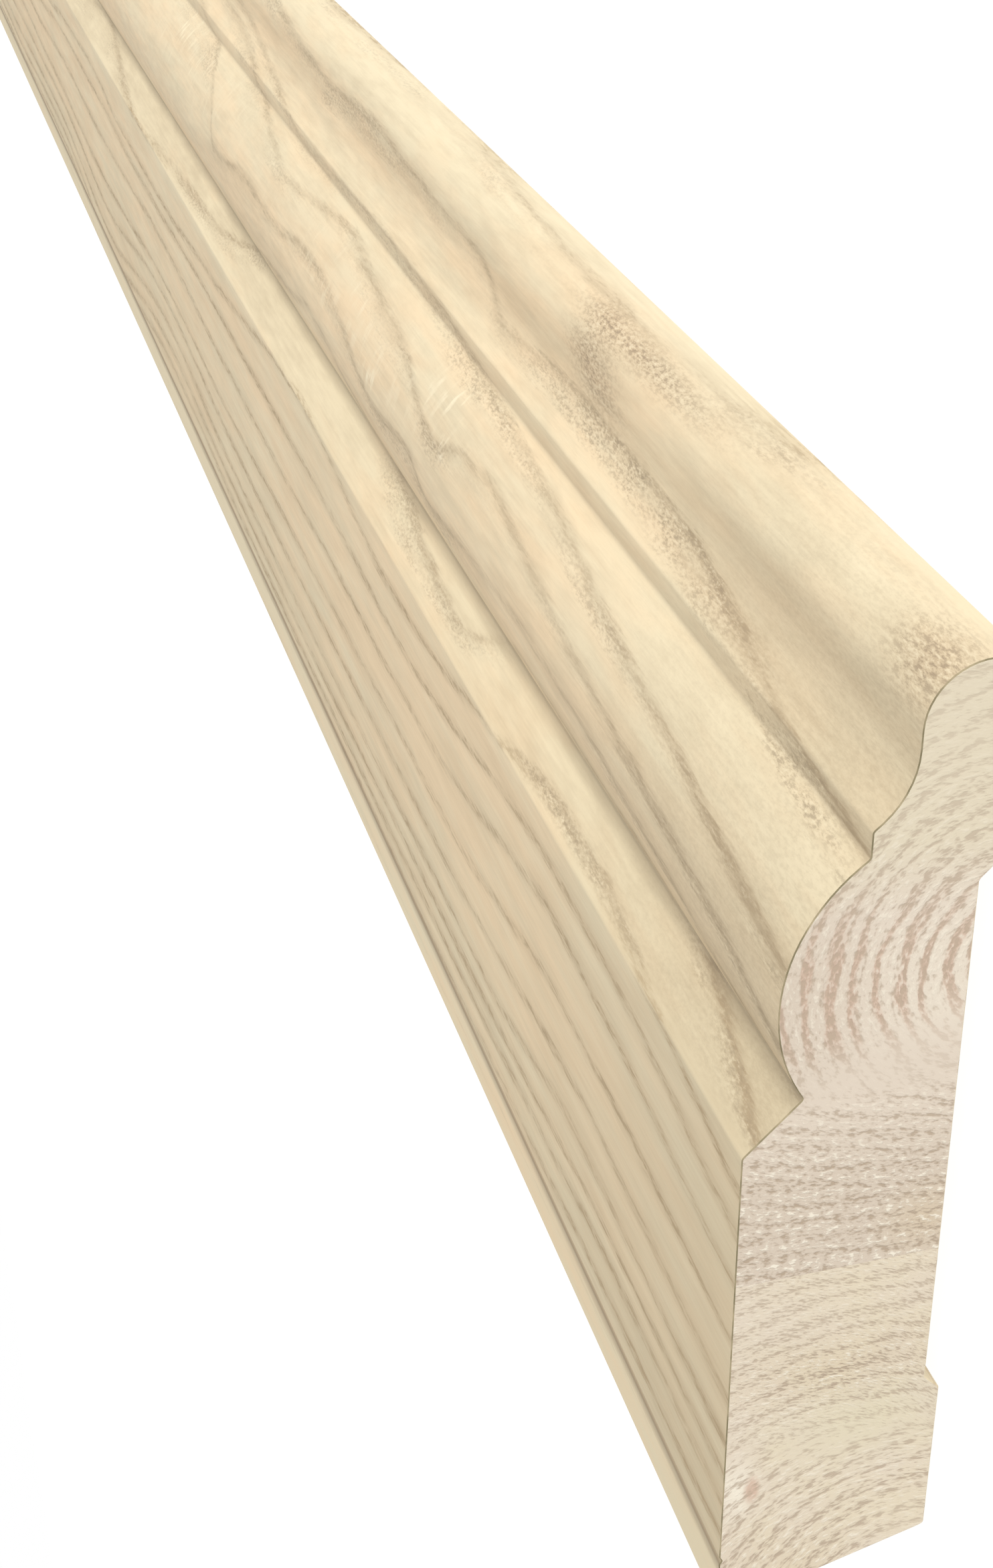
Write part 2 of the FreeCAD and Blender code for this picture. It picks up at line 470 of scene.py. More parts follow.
from_end = end - stations
courses = [course(from_end, *guide) for guide in GUIDE_COURSES]
for lower in range(1, len(courses)):
    gap = guide_homes[lower] - guide_homes[lower - 1]
    courses[lower] = np.maximum(courses[lower], courses[lower - 1] + LEAST_SHARE * gap)
print("courses at the far end, in mm over the face:", [round(float(c[0]), 1) for c in courses])


# %% Ring number of every point
ABOVE_RATE = 0.75
BACK_WAVES = ((0.9, 610.0, 0.3), (0.5, 233.0, 1.9), (0.25, 97.0, 4.0))
LEAST_RATE = 0.04


def ring_homes(over, courses):
    """Homes between guides in equal shares: each gap's home distance times the share of it crossed."""
    home = guide_homes[0] + ABOVE_RATE * np.minimum(over - courses[0][:, None], 0)
    for upper in range(len(courses) - 1):
        first, second = courses[upper][:, None], courses[upper + 1][:, None]
        gap = guide_homes[upper + 1] - guide_homes[upper]
        home = home + gap * np.clip((over - first) / (second - first), 0, 1)
    return home + np.maximum(over - courses[-1][:, None], 0)


def ring_numbers(over):
    """Ring count at each station and each distance over the face, read off the list of homes."""
    return np.interp(ring_homes(over, courses), RING_HOMES, np.arange(len(RING_HOMES)))


on_front = np.minimum(over, floor_edge)
rings = ring_numbers(on_front[None, :])
up_back = np.clip((over - floor_edge) / (girth - floor_edge), 0, 1)
top_rings = ring_numbers(np.zeros((1, 1)))
waves = sum(lift * np.sin(2 * np.pi * from_end / pitch + shift) for lift, pitch, shift in BACK_WAVES)
rings = rings + (top_rings - rings) * up_back + waves[:, None] * np.sin(np.pi * up_back)
breadth = 1 / np.maximum(np.abs(np.gradient(rings, over, axis=1)), LEAST_RATE)
print(f"rings {rings.min():.1f} to {rings.max():.1f}, {breadth.min():.1f} to {breadth.max():.1f} mm apart")

# %% [markdown]
# ## What each point carries
#
# The finish of the planed faces needs to know things that no pattern of noise can know: how the rings run,
# where a knot darkens the wood from below, where the cutter tore the late wood or lifted the fibres into
# pale feathers, where the wood is plainer, and where it is pinker and darker. The pinker tone is partly the
# wood's own and partly a painted warm tint of shade. The darkening is painted shade in the quirk, the groove,
# the fillet's corner, the cove and under the ovolo, with a darker tone towards the groove and a painted
# highlight on the nose further along. Each is worked out for every point and kept on the mesh as an
# attribute. A painted texture could hold the same, but attributes need no unwrapping and are smooth at any
# distance. A place is a soft oval on the face. Those far from the photographed end are made up, so that the
# rest of the board is as lively as the part that can be seen.

# %% Places on the face: from the end, over the face, reach along, reach across, strength
KNOT_SHADOWS = [
    (3, 6, 7, 3.8, 1.0), (36, 18, 15, 2.0, 0.4), (70, 5.5, 17, 1.6, 1.0), (84, 6, 5, 3, 0.5),
    (82, 10, 7, 2.4, 0.85), (78, 12.6, 7, 1.6, 0.5), (455, 30, 22, 3.5, 0.6), (905, 12, 30, 4.0, 0.7),
    (1340, 22, 26, 5.0, 0.7), (1985, 16, 34, 5.0, 0.7),
]
FEATHERED_PLACES = [
    (110, 26.5, 4, 3, 0.8), (108, 31.5, 2.4, 2.4, 0.9), (143, 37, 3, 3.4, 0.9), (173.5, 30.6, 2, 2.4, 1.0),
    (119, 27, 5, 3, 0.6), (303, 21, 3, 3, 0.9), (312, 24, 4, 3.5, 0.9), (150, 31, 50, 5, 0.4),
    (290, 28, 45, 6, 0.45),
]
TORN_PLACES = [
    (62, 16, 45, 4, 1.0), (12, 23, 20, 3, 1.0), (20, 48, 16, 4, 0.6), (100, 23.5, 22, 2.5, 0.9),
    (112, 32, 8, 2.5, 1.0), (126, 28, 8, 2, 0.8), (110, 50, 22, 3, 0.7), (55, 28.5, 28, 3, 0.6),
    (50, 52, 25, 2.5, 0.8), (78, 53.5, 25, 2, 0.7), (285, 25, 18, 4, 0.6), (165, 21.5, 35, 3, 0.7),
    (170, 31, 35, 4, 0.6), (240, 20, 40, 4, 0.5), (190, 10, 60, 3, 0.6), (640, 20, 40, 9, 1.0),
    (1240, 30, 60, 9, 1.0), (2010, 24, 70, 12, 1.0),
]
PINK_PLACES = [
    (95, 70, 80, 15, 0.9), (60, 41, 60, 5, 0.3), (145, 57, 30, 4, 0.6), (130, 43, 40, 4, 0.6),
    (165, 28, 85, 14, 0.4), (235, 14, 50, 6, 0.6), (75, 7, 25, 5, 0.9), (150, 13, 100, 3, 0.8),
    (270, 62, 80, 9, 0.2), (70, 104, 70, 4, 0.8), (620, 75, 160, 14, 0.8), (1150, 60, 260, 20, 0.7),
    (1800, 80, 300, 22, 0.8),
]
# A painted highlight on the nose some 140 to 300 mm from the end, where the lamp's light is weaker: it takes
# away the painted shade there.
PAINTED_LIGHT_PLACES = [(220, 6, 80, 6, 0.9)]
FAINT_PLACES = [(48, 2, 14, 3, 0.5), (85, 45, 14, 4, 0.8), (110, 35, 14, 2.5, 0.4), (190, 36, 20, 6, 0.3)]


def soft_ovals(ovals):
    """The sum of soft ovals: strength times a bell of the distance along and a bell of that across."""
    total = np.zeros(rings.shape)
    for along, across, reach, width, strength in ovals:
        bell = ((from_end[:, None] - along) / reach) ** 2 + ((over[None, :] - across) / width) ** 2
        total += strength * np.exp(-bell)
    return np.clip(total, 0, 1)


# %% Shares over the face: pairs of a distance over the face and the share there
# Green shares by member: partly the wood's own tone, partly a painted warm tint of shade, pinker where the
# members turn from the light.
GREEN_SHARES = [
    (0, 0.7), (7, 0.85), (13, 0.75), (19, 0.6), (25, 0.9), (31, 0.5), (37, 0.4), (43, 0.1), (46, 0.2),
    (47, 1.3), (53, 1.2), (56, 0.5), (65, 0.45), (74, 0.5), (82, 0.6), (98, 0.65), (101, 1.1),
]
WEATHER_SHARES = [
    (0, 0.1), (8, 0.3), (12, 0.9), (21, 0.9), (22.5, 0.2), (27, 0.5), (34, 0.9), (39, 0.9), (43, 0.6),
    (46, 0.7), (47, 0.9), (54, 0.8), (99, 0.7), (101, 0.1),
]
# Painted shade in the cove and on the ovolo towards the quirk, where those members turn from the light, and a
# darker tone towards the groove.
SHADE_AND_TONE_SHARES = [
    (10, 0.1), (13, 0.2), (17, 0.06), (30, 0.02), (36, 0.12), (46, 0.1), (74, 0.1), (84, 0.16),
    (92, 0.2), (99, 0.22), (100.4, 0.0), (101.5, -0.06),
]


def shares_over(pairs):
    """The share at each distance over the face, in proportion between the pairs beside it."""
    return np.interp(over, *zip(*pairs))


# %% Lines and bands over the face, in millimetres
# Crease lines of painted shade in the quirk, the groove and the fillet's corner: centre, width and strength
CREASE_SHADE_LINES = [(46.7, 0.3, 0.7), (99.8, 0.3, 1.2), (22.0, 0.35, 0.3)]
MOULDED_TO = 53.8
MOULDED_FADE = 2.0
BAND_START = 99.4
LATE_FLAT = 1.25
LATE_PER_BREADTH = 0.3
LATE_LIMITS = (1.2, 4.0)

moulded = smooth_step((MOULDED_TO - over) / MOULDED_FADE)
on_band = smooth_step((over - BAND_START) * (over < floor_edge + 1))
painted_crease_shade = sum(strength * np.exp(-(((over - across) / width) ** 2)) for across, width, strength in CREASE_SHADE_LINES)
late_width = LATE_FLAT + moulded * (np.clip(LATE_PER_BREADTH * breadth, *LATE_LIMITS) - LATE_FLAT)
print(f"late wood {late_width.min():.2f} to {late_width.max():.2f} mm wide")

# %% Attributes on the mesh
CARRIED = {
    "ring": rings,
    "breadth": breadth,
    "late_width": late_width,
    "moulded": moulded,
    "shadow": soft_ovals(KNOT_SHADOWS),
    "feathered": soft_ovals(FEATHERED_PLACES),
    "tearing": soft_ovals(TORN_PLACES),
    "green": shares_over(GREEN_SHARES) * (1 - soft_ovals(PINK_PLACES)),
    "weathered": shares_over(WEATHER_SHARES),
    "painted_shade_and_tone": shares_over(SHADE_AND_TONE_SHARES) * (1 - soft_ovals(PAINTED_LIGHT_PLACES)),
    "plain": on_band + soft_ovals(FAINT_PLACES),
    "painted_crease_shade": painted_crease_shade,
}
for name, values in CARRIED.items():
    attribute = board_mesh.attributes.new(name, "FLOAT", "POINT")
    attribute.data.foreach_set("value", np.broadcast_to(values, rings.shape).astype(np.float32).ravel())
print("carried per point:", [a.name for a in board_mesh.attributes if a.domain == "POINT"])

# %% [markdown]
# ## Formulas made of shader nodes
#
# A finish is a graph of shader nodes, and most of them do plain arithmetic on numbers that differ from
# place to place. Added one by one, such a graph is hard to read back. Here a number or point that varies is
# a small object, a field, which knows its node tree and its output. A sum or product of fields adds a Math
# node, so the graph is written as the formula that it works out.

# %% A node
def node(tree, kind, sockets, **settings):
    """A new shader node. Each named socket gets a plain value, or a link when given a field or an output."""
    made = tree.nodes.new("ShaderNode" + kind)
    for name, value in settings.items():
        setattr(made, name, value)
    for name, value in sockets.items():
        source = value.output if isinstance(value, Field) else value
        if isinstance(source, bpy.types.NodeSocket):
            tree.links.new(source, made.inputs[name])
        else:
            made.inputs[name].default_value = source
    return made


# %% A field
class Field:
    """A number or point that differs from place to place: the output of one node in a tree."""

    def __init__(self, tree, output):
        """The tree, and the output of a node in it."""
        self.tree = tree
        self.output = output

    def math(self, operation, *values):
        """The result of one Math node over the values, in their order."""
        made = node(self.tree, "Math", dict(enumerate(values)), operation=operation)
        return Field(self.tree, made.outputs[0])

    def __add__(self, other):
        """The sum."""
        return self.math("ADD", self, other)

    def __sub__(self, other):
        """The field less the other."""
        return self.math("SUBTRACT", self, other)

    def __rsub__(self, other):
        """A plain number less the field."""
        return self.math("SUBTRACT", other, self)

    def __mul__(self, other):
        """The product."""
        return self.math("MULTIPLY", self, other)

    def __truediv__(self, other):
        """The field over the other."""
        return self.math("DIVIDE", self, other)

    def __pow__(self, other):
        """The field raised to a power."""
        return self.math("POWER", self, other)

    def __abs__(self):
        """The field without its sign."""
        return self.math("ABSOLUTE", self)

    def root(self):
        """The square root."""
        return self.math("SQRT", self)

    def fraction(self):
        """What is left over a whole number, from 0 to 1."""
        return self.math("FRACT", self)

    def or_more(self, other):
        """The larger of the two."""
        return self.math("MAXIMUM", self, other)

    def or_less(self, other):
        """The smaller of the two."""
        return self.math("MINIMUM", self, other)

    def below(self, other):
        """One where the field is less than the other, nought elsewhere."""
        return self.math("LESS_THAN", self, other)

    def angle_over(self, other):
        """The angle whose tangent is the field over the other, all the way round."""
        return self.math("ARCTAN2", self, other)

    def slope(self, low_value, high_value, from_value=0.0, to_value=1.0):
        """A clamped ramp: from_value up to low_value, to_value past high_value, in proportion between."""
        limits = {"From Min": low_value, "From Max": high_value, "To Min": from_value, "To Max": to_value}
        return Field(self.tree, node(self.tree, "MapRange", {"Value": self, **limits}).outputs["Result"])

    def axis(self, name):
        """One coordinate of a point: X, Y or Z."""
        return Field(self.tree, node(self.tree, "SeparateXYZ", {"Vector": self}).outputs[name])


# %% Mixes
def between(share, none, full):
    """A colour part of the way from none to full: none times (1 - share) plus full times share."""
    return node(share.tree, "Mix", {0: share, 6: none, 7: full}, data_type="RGBA").outputs[2]


def layered(colour, *layers):
    """A colour with others laid over it one after another, each by its own share."""
    for share, laid_over in layers:
        colour = between(share, colour, laid_over)
    return colour


def part_way(share, none, full):
    """A number part of the way from none to full: none times (1 - share) plus full times share."""
    return Field(share.tree, node(share.tree, "Mix", {0: share, 2: none, 3: full}).outputs[0])


# %% Patterns and points
def speckle(place, cells, detail, roughness):
    """Smooth random value from 0 to 1, with so many cells to the unit along x, y and z."""
    spread = node(place.tree, "Mapping", {"Vector": place, "Scale": cells})
    sockets = {"Vector": spread.outputs["Vector"], "Scale": 1.0, "Detail": detail, "Roughness": roughness}
    return Field(place.tree, node(place.tree, "TexNoise", sockets).outputs["Fac"])


def turned(place, angle):
    """Points turned about z by an angle."""
    made = node(place.tree, "Mapping", {"Vector": place, "Rotation": (0, 0, angle)})
    return Field(place.tree, made.outputs["Vector"])


def point(x, y, z=0.0):
    """A field of points from its coordinates, the first of which is a field."""
    return Field(x.tree, node(x.tree, "CombineXYZ", {"X": x, "Y": y, "Z": z}).outputs["Vector"])


def carried(tree, name):
    """The value that the surface carries under a name."""
    return Field(tree, node(tree, "Attribute", {}, attribute_name=name).outputs["Fac"])


# %% Starting and ending a finish
BUMP_STRENGTH = 0.5


def new_finish(name, roughness, specular):
    """A material whose gloss is set on its shader, with its tree, its shader and the object's coordinates."""
    finish = bpy.data.materials.new(name)
    finish.use_nodes = True
    tree = finish.node_tree
    shader = tree.nodes["Principled BSDF"]
    shader.inputs["Roughness"].default_value = roughness
    shader.inputs["Specular IOR Level"].default_value = specular
    return finish, tree, shader, Field(tree, node(tree, "TexCoord", {}).outputs["Object"])


def raise_by(tree, shader, height, depth):
    """A bump on the shader: the surface seems to stand out by the height times the depth, in metres."""
    bumped = node(tree, "Bump", {"Strength": BUMP_STRENGTH, "Distance": depth, "Height": height})
    tree.links.new(bumped.outputs["Normal"], shader.inputs["Normal"])


# %% [markdown]
# ## Planed pine
#
# Fresh planed pine is a pale, slightly pink to greenish yellow. On the flat face each ring is a thin dark
# line, broken up by the fibres, with a soft tone before and after it. On the moulding, where the cutter ran
# almost along the rings, the late wood tears in patches into small flecks on a soft broad band. Over a knot
# the wood is tan and the flecks are denser, here and there the fibres lift into pale feathers, and the last
# few centimetres are weathered. Everything is drawn out along the length, since wood is made of long
# fibres. The distance to the nearest ring is worked out in millimetres, from the ring count and the spacing
# that the mesh carries, so a line keeps its width however far apart the rings lie. Noise on the object's
# own coordinates roughens the edges, so it keeps its scale on every face. A pattern below is named by its
# cells to the metre along x, y and z, its detail and its roughness. A ramp is named by the two values that
# it runs between, and then by the two that it gives there.

# %% Planed pine: distance to the ring line, in millimetres
PLANED_ROUGHNESS, PLANED_SPECULAR = 0.62, 0.22
FIBRES = ((180, 2200, 2200), 3.0, 0.62)
WANDERING = ((30, 320, 320), 2.0, 0.55)
SWAYING = ((9, 90, 90), 1.0, 0.5)
FIBRE_REACH = 2.0
WANDER_REACH = 1.2
MEAN_REACH = (FIBRE_REACH + WANDER_REACH + 1) / 2

planed, tree, shader, place = new_finish("planed_pine", PLANED_ROUGHNESS, PLANED_SPECULAR)
fibre = speckle(place, *FIBRES)
wander = speckle(place, *WANDERING)
sway = speckle(place, *SWAYING)
breadth_here = carried(tree, "breadth")
late_here = carried(tree, "late_width")
moulded_here = carried(tree, "moulded")
ragged = fibre * FIBRE_REACH + (wander * WANDER_REACH + sway)
year = carried(tree, "ring") + (ragged - MEAN_REACH) / breadth_here
distance = ((year + 0.5).fraction() - 0.5) * breadth_here
print(f"a ring line wanders up to {MEAN_REACH:.1f} mm to either side")

# %% Planed pine: the ring line
WEATHERED_REACH = (65, 8)
BROAD_LINE = (1.3, 0.15)
NARROW_LINE = (0.8, 0.25)
TONE_BEFORE = (-1.5, -1.0)
TONE_AFTER = (0.8, 0.6)
TONE_POWER = 1.4
HATCHING = ((300, 1900, 1900), 3.0, 0.65)
HATCH_CUT = (0.46, 0.58)
UNBROKEN_MOULDED = 0.35
BROAD_SHARE, TONE_SHARE, STROKE_SHARE = 0.19, 0.17, 0.46
FADING = ((24, 140, 140), 2.0, 0.5)
FADE_RAMP = (0.36, 0.58, 0.6, 1.05)
MOULDED_STRENGTH = 0.72
END_STRENGTH = 1.2
PLAIN_STRENGTH = 0.2

near_end = place.axis("X").slope(*[(end - reach) / MM_PER_M for reach in WEATHERED_REACH])
off_line = abs(distance)
broad = off_line.slope(*BROAD_LINE)
before = distance.slope(late_here * TONE_BEFORE[0] + TONE_BEFORE[1], 0.0)
after = distance.slope(late_here * TONE_AFTER[0] + TONE_AFTER[1], 0.0)
tone = before.or_less(after) ** TONE_POWER
hatch = speckle(place, *HATCHING).slope(*HATCH_CUT)
strokes = off_line.slope(*NARROW_LINE) * hatch.or_more(moulded_here * UNBROKEN_MOULDED)
drawn = broad * BROAD_SHARE + (tone * TONE_SHARE + strokes * STROKE_SHARE)
faded = drawn * speckle(place, *FADING).slope(*FADE_RAMP)
shown = part_way(near_end, part_way(moulded_here, 1.0, MOULDED_STRENGTH), END_STRENGTH)
line = faded * (shown * carried(tree, "plain").slope(0, 1, 1, PLAIN_STRENGTH))
print("ring line:", len(tree.nodes), "nodes so far")

# %% Planed pine: torn late wood
BAND_FIRST_EDGE = (-0.9, 0.1)
BAND_SOFTNESS = 0.6
TEARING = ((22, 70, 70), 2.0, 0.5)
TEAR_RAMP = (0.49, 0.62, 0.1, 0.6)
TEAR_PATCHES = ((110, 460, 460), 2.0, 0.55)
PATCH_RAMP = (0.38, 0.56, 0.4, 1.0)
END_TEARING = 0.6
END_ROUGHNESS = 0.2
SHADOW_TEARING = 0.95
TICKS = ((1100, 2900, 2900), 3.0, 0.68)
DARK_TICK_CUT = (0.49, 0.61)
DARK_TICK_STRENGTH, SHADOW_TICK_STRENGTH = 0.62, 0.82
PALE_TICK_RAMP = (0.47, 0.36, 0.0, 0.45)

shadow = carried(tree, "shadow")
first_edge = distance.slope(*BAND_FIRST_EDGE)
last_edge = distance.slope(late_here + BAND_SOFTNESS, late_here - BAND_SOFTNESS)
tearing = speckle(place, *TEARING).slope(*TEAR_RAMP)
tearing = tearing.or_more(near_end * END_TEARING).or_more(carried(tree, "tearing"))
tearing = tearing * speckle(place, *TEAR_PATCHES).slope(*PATCH_RAMP)
band = first_edge * last_edge * tearing
torn = band.or_more(shadow * SHADOW_TEARING).or_more(near_end * END_ROUGHNESS) * moulded_here
ticks = speckle(place, *TICKS)
tick_strength = part_way(shadow, DARK_TICK_STRENGTH, SHADOW_TICK_STRENGTH)
dark_ticks = torn * ticks.slope(*DARK_TICK_CUT, 0.0, tick_strength)
pale_ticks = torn * ticks.slope(*PALE_TICK_RAMP)
print("torn late wood:", len(tree.nodes), "nodes so far")

# %% Planed pine: tone of the ground between the lines
BLOTCHES = ((14, 100, 100), 3.0, 0.6)
BLOTCH_RAMP = (0.38, 0.62, -0.3, 0.3)
TINTS = ((60, 360, 360), 2.0, 0.6)
TINT_RAMP = (0.36, 0.64, -0.25, 0.25)
STRANDS = ((60, 2600, 2600), 3.0, 0.6)
STRAND_RAMP = (0.3, 0.7, -0.07, 0.07)
CLOUDS = ((30, 300, 300), 2.0, 0.5)
CLOUD_RAMP = (0.3, 0.7, -0.08, 0.13)
MOTTLE = ((130, 750, 750), 3.0, 0.65)
MOTTLE_RAMP = (0.35, 0.65, -0.09, 0.09)
FLAT_MOTTLE = 0.5
SHADOW_DARKNESS = 0.28
TORN_DARKNESS = 0.2

tints = speckle(place, *BLOTCHES).slope(*BLOTCH_RAMP) + speckle(place, *TINTS).slope(*TINT_RAMP)
greenness = (carried(tree, "green") + tints).or_more(0.0)
strands = speckle(place, *STRANDS).slope(*STRAND_RAMP)
clouds = speckle(place, *CLOUDS).slope(*CLOUD_RAMP)
mottle = speckle(place, *MOTTLE).slope(*MOTTLE_RAMP) * part_way(moulded_here, FLAT_MOTTLE, 1.0)
# The ground takes the painted shade and darker tone that each point carries.
ground = carried(tree, "painted_shade_and_tone") + (mottle + (strands + clouds))
darkness = (shadow * SHADOW_DARKNESS + ground) + (torn * TORN_DARKNESS + line)
print("ground:", len(tree.nodes), "nodes so far")

# %% Planed pine: lifted feathers of fibre
FEATHER_TURN = radians(25)
FEATHERS = ((750, 200, 200), 2.5, 0.6)
FEATHER_CUT = (0.51, 0.66)
FEATHER_PATCHES = ((90, 300, 300), 2.0, 0.5)
FEATHER_PATCH_RAMP = (0.42, 0.58, 0.15, 1.0)

feathers = speckle(turned(place, FEATHER_TURN), *FEATHERS).slope(*FEATHER_CUT)
feathers = feathers * speckle(place, *FEATHER_PATCHES).slope(*FEATHER_PATCH_RAMP)
lifted = carried(tree, "feathered") * feathers
print("feathers:", len(tree.nodes), "nodes so far")

# %% Planed pine: colour
PINK_PINE = (0.774, 0.606, 0.392, 1.0)
GREEN_PINE = (0.729, 0.624, 0.426, 1.0)
LATE_PINE = (0.415, 0.312, 0.183, 1.0)
GREY_LATE_PINE = (0.408, 0.315, 0.196, 1.0)
TAN_LATE_PINE = (0.428, 0.318, 0.198, 1.0)
FLECK_PINE = (0.290, 0.226, 0.150, 1.0)
TAN_FLECK_PINE = (0.305, 0.228, 0.151, 1.0)
PALE_FLECK = (0.850, 0.750, 0.540, 1.0)
END_TONE = (0.532, 0.450, 0.302, 1.0)
WEATHERED_SHARE = 0.62
CREASE_SHADE_SHARE = 0.8
FIBRE_HEIGHT = 0.3
PLANED_DEPTH = 0.0002

wood = layered(
    between(greenness, PINK_PINE, GREEN_PINE),
    (near_end * (carried(tree, "weathered") * WEATHERED_SHARE), END_TONE),
    (darkness, between(shadow, between(moulded_here, LATE_PINE, GREY_LATE_PINE), TAN_LATE_PINE)),
    (dark_ticks, between(shadow, FLECK_PINE, TAN_FLECK_PINE)),
    (pale_ticks.or_more(lifted), PALE_FLECK),
    # painted shade in the quirk, the groove and the fillet's corner, in the fleck colour
    (carried(tree, "painted_crease_shade") * CREASE_SHADE_SHARE, FLECK_PINE),
)
tree.links.new(wood, shader.inputs["Base Color"])
raise_by(tree, shader, fibre * FIBRE_HEIGHT - torn * ticks, PLANED_DEPTH)
board_mesh.materials.append(planed)
print("planed pine has", len(tree.nodes), "nodes")

# %% [markdown]
# ## The sawn end
#
# The saw shows the rings as arcs. The board is laminated from two staves, each cut from another part of a
# trunk, and a straight glue line divides them. In the upper stave the rings curve round the back of the
# board, and below the moulding they flatten out into rows that fall a little to the back. In the lower one
# they curve round a centre below the foot, and higher up they rise into an arch. The saw breaks the late
# wood into short dashes that follow the rings, so the dashes are noise in polar coordinates: the distance
# from the centre one way, the length of the arc the other way. Soft oval spots on the section say where the
# dashes are strong, and where the wood is stained. The rings are counted in millimetres, so the cells of
# their noise are cells to the millimetre.

# %% Sawn end: rings
RING_SPACING = 2.0
UNEVENNESS = 1.5
UNEVEN_CELLS = ((0.5, 0.12, 1.0), 2.0, 0.55)
LATE_TENT = (0.42, 0.05)
ROW_FALL = (40, 56, 0.1, 0.3)
ROW_LAYER = 3.0


def round_rings(deep, rise, centre):
    """Polar coordinates round a centre, in millimetres: the radius, and the angle times the radius."""
    across = centre[0] - deep
    upward = rise - centre[1]
    radius = (across * across + upward * upward).root()
    return point(radius, upward.angle_over(across) * radius)


def level_rings(deep, rise):
    """Rows that fall to the back, more so higher up: the rise plus a share of the depth, and the depth."""
    return point(deep * rise.slope(*ROW_FALL) + rise, deep, ROW_LAYER)


def lateness(rings):
    """How late in its year a place is: a tent, from 0 to 1 and back, over the ring's share plus noise."""
    uneven = speckle(rings, *UNEVEN_CELLS) * UNEVENNESS
    share = (rings.axis("X") / RING_SPACING + uneven).fraction()
    return abs(share - 0.5).slope(*LATE_TENT)


# %% Sawn end: ticks and spots
TICK_DETAIL, TICK_ROUGHNESS = 1.8, 0.6


def sawn_ticks(rings, across, along, late_share):
    """Ticks: noise with so many cells to the millimetre across and along the ring, raised in late wood."""
    return lateness(rings) * late_share + speckle(rings, (across, along, 1.0), TICK_DETAIL, TICK_ROUGHNESS)


def spot(section, centre, reach):
    """A soft oval on the section: one at its centre, less the distance from it counted in reaches."""
    moved = (-centre[0] / reach[0], -centre[1] / reach[1], 0)
    counts = {"Vector": section, "Location": moved, "Scale": (1 / reach[0], 1 / reach[1], 1)}
    counted = node(section.tree, "Mapping", counts).outputs["Vector"]
    made = node(section.tree, "TexGradient", {"Vector": counted}, gradient_type="SPHERICAL")
    return Field(section.tree, made.outputs["Fac"])


# %% Sawn end: where one kind of ring gives way to the next
SAWN_ROUGHNESS, SAWN_SPECULAR = 0.85, 0.1
UPPER_CENTRE = (24.0, 67.6)
LOWER_CENTRE = (19.0, -5.0)
ARCH_CENTRE = (12.0, 4.0)
GLUE_LINE = 38.75
ROWS_BELOW = (58.5, 55.5)
ARCH_ABOVE = (17, 21)
ROUND_TICKS = (2.4, 1.2, 0.21)
ROW_TICKS = (2.4, 1.3, 0.16)
FOOT_TICKS = (2.6, 1.0, 0.18)
ARCH_TICKS = (3.0, 1.9, 0.17)

sawn, tree, shader, place = new_finish("sawn_end", SAWN_ROUGHNESS, SAWN_SPECULAR)
rise = place.axis("Y") * MM_PER_M + HEIGHT / 2
deep = place.axis("Z") * -MM_PER_M + THICKNESS
section = point(deep, rise)
in_lower = rise.below(GLUE_LINE)
in_rows = rise.slope(*ROWS_BELOW)
upper_rings = round_rings(deep, rise, UPPER_CENTRE)
round_ticks = sawn_ticks(upper_rings, *ROUND_TICKS)
row_ticks = sawn_ticks(level_rings(deep, rise), *ROW_TICKS)
foot_ticks = sawn_ticks(round_rings(deep, rise, LOWER_CENTRE), *FOOT_TICKS)
arch_ticks = sawn_ticks(round_rings(deep, rise, ARCH_CENTRE), *ARCH_TICKS)
lower_ticks = part_way(rise.slope(*ARCH_ABOVE), foot_ticks, arch_ticks)
ticks = part_way(in_lower, part_way(in_rows, round_ticks, row_ticks), lower_ticks)
print("sawn ticks:", len(tree.nodes), "nodes so far")

# %% Sawn end: where it is strong and where it is calm
ROUND_TILT = -0.45
ROUND_RAMP = (54.6, 59.5, 0.3, 0.88)
HEAD_RAMP = (75, 88, 1.0, 0.5)
ROW_RAMP = (57.5, 48, 0.8, 1.2)
LOWER_RAMP = (6, 20, 1.05, 0.8)
LOWER_SPOTS = [((10.5, 27), (13, 6), 0.5), ((12, 20), (10, 5), -0.25), ((18, 5), (6, 7), -0.5)]

round_strength = (deep * ROUND_TILT + rise).slope(*ROUND_RAMP) * rise.slope(*HEAD_RAMP)
lower_strength = rise.slope(*LOWER_RAMP)
for centre, reach, gain in LOWER_SPOTS:
    lower_strength = spot(section, centre, reach) * gain + lower_strength
upper_strength = part_way(in_rows, round_strength, rise.slope(*ROW_RAMP))
strength = part_way(in_lower, upper_strength, lower_strength)
print("strength:", len(tree.nodes), "nodes so far")

# %% Sawn end: colour of the upper stave
UPPER_WOOD = (0.722, 0.624, 0.512, 1.0)
HEAD_WOOD = (0.726, 0.640, 0.484, 1.0)
OCHRE_WOOD = (0.640, 0.520, 0.360, 1.0)
DASH_WOOD = (0.470, 0.372, 0.275, 1.0)
FUZZ_WOOD = (0.850, 0.775, 0.640, 1.0)
HEAD_ABOVE = (74, 80)
HEART_ABOVE, HEART_BELOW = (59, 64), (78, 70)
PALE_TO_BACK = (8, 16, 0.0, 0.35)
DIM_BELOW = (56, 48, 0.0, 0.26)
DIM_SPOT, DIM_SHARE = ((3, 67), (9, 13)), 0.22
OCHRE_SPOT, OCHRE_SHARE = ((17, 42.5), (5.5, 5)), 0.65

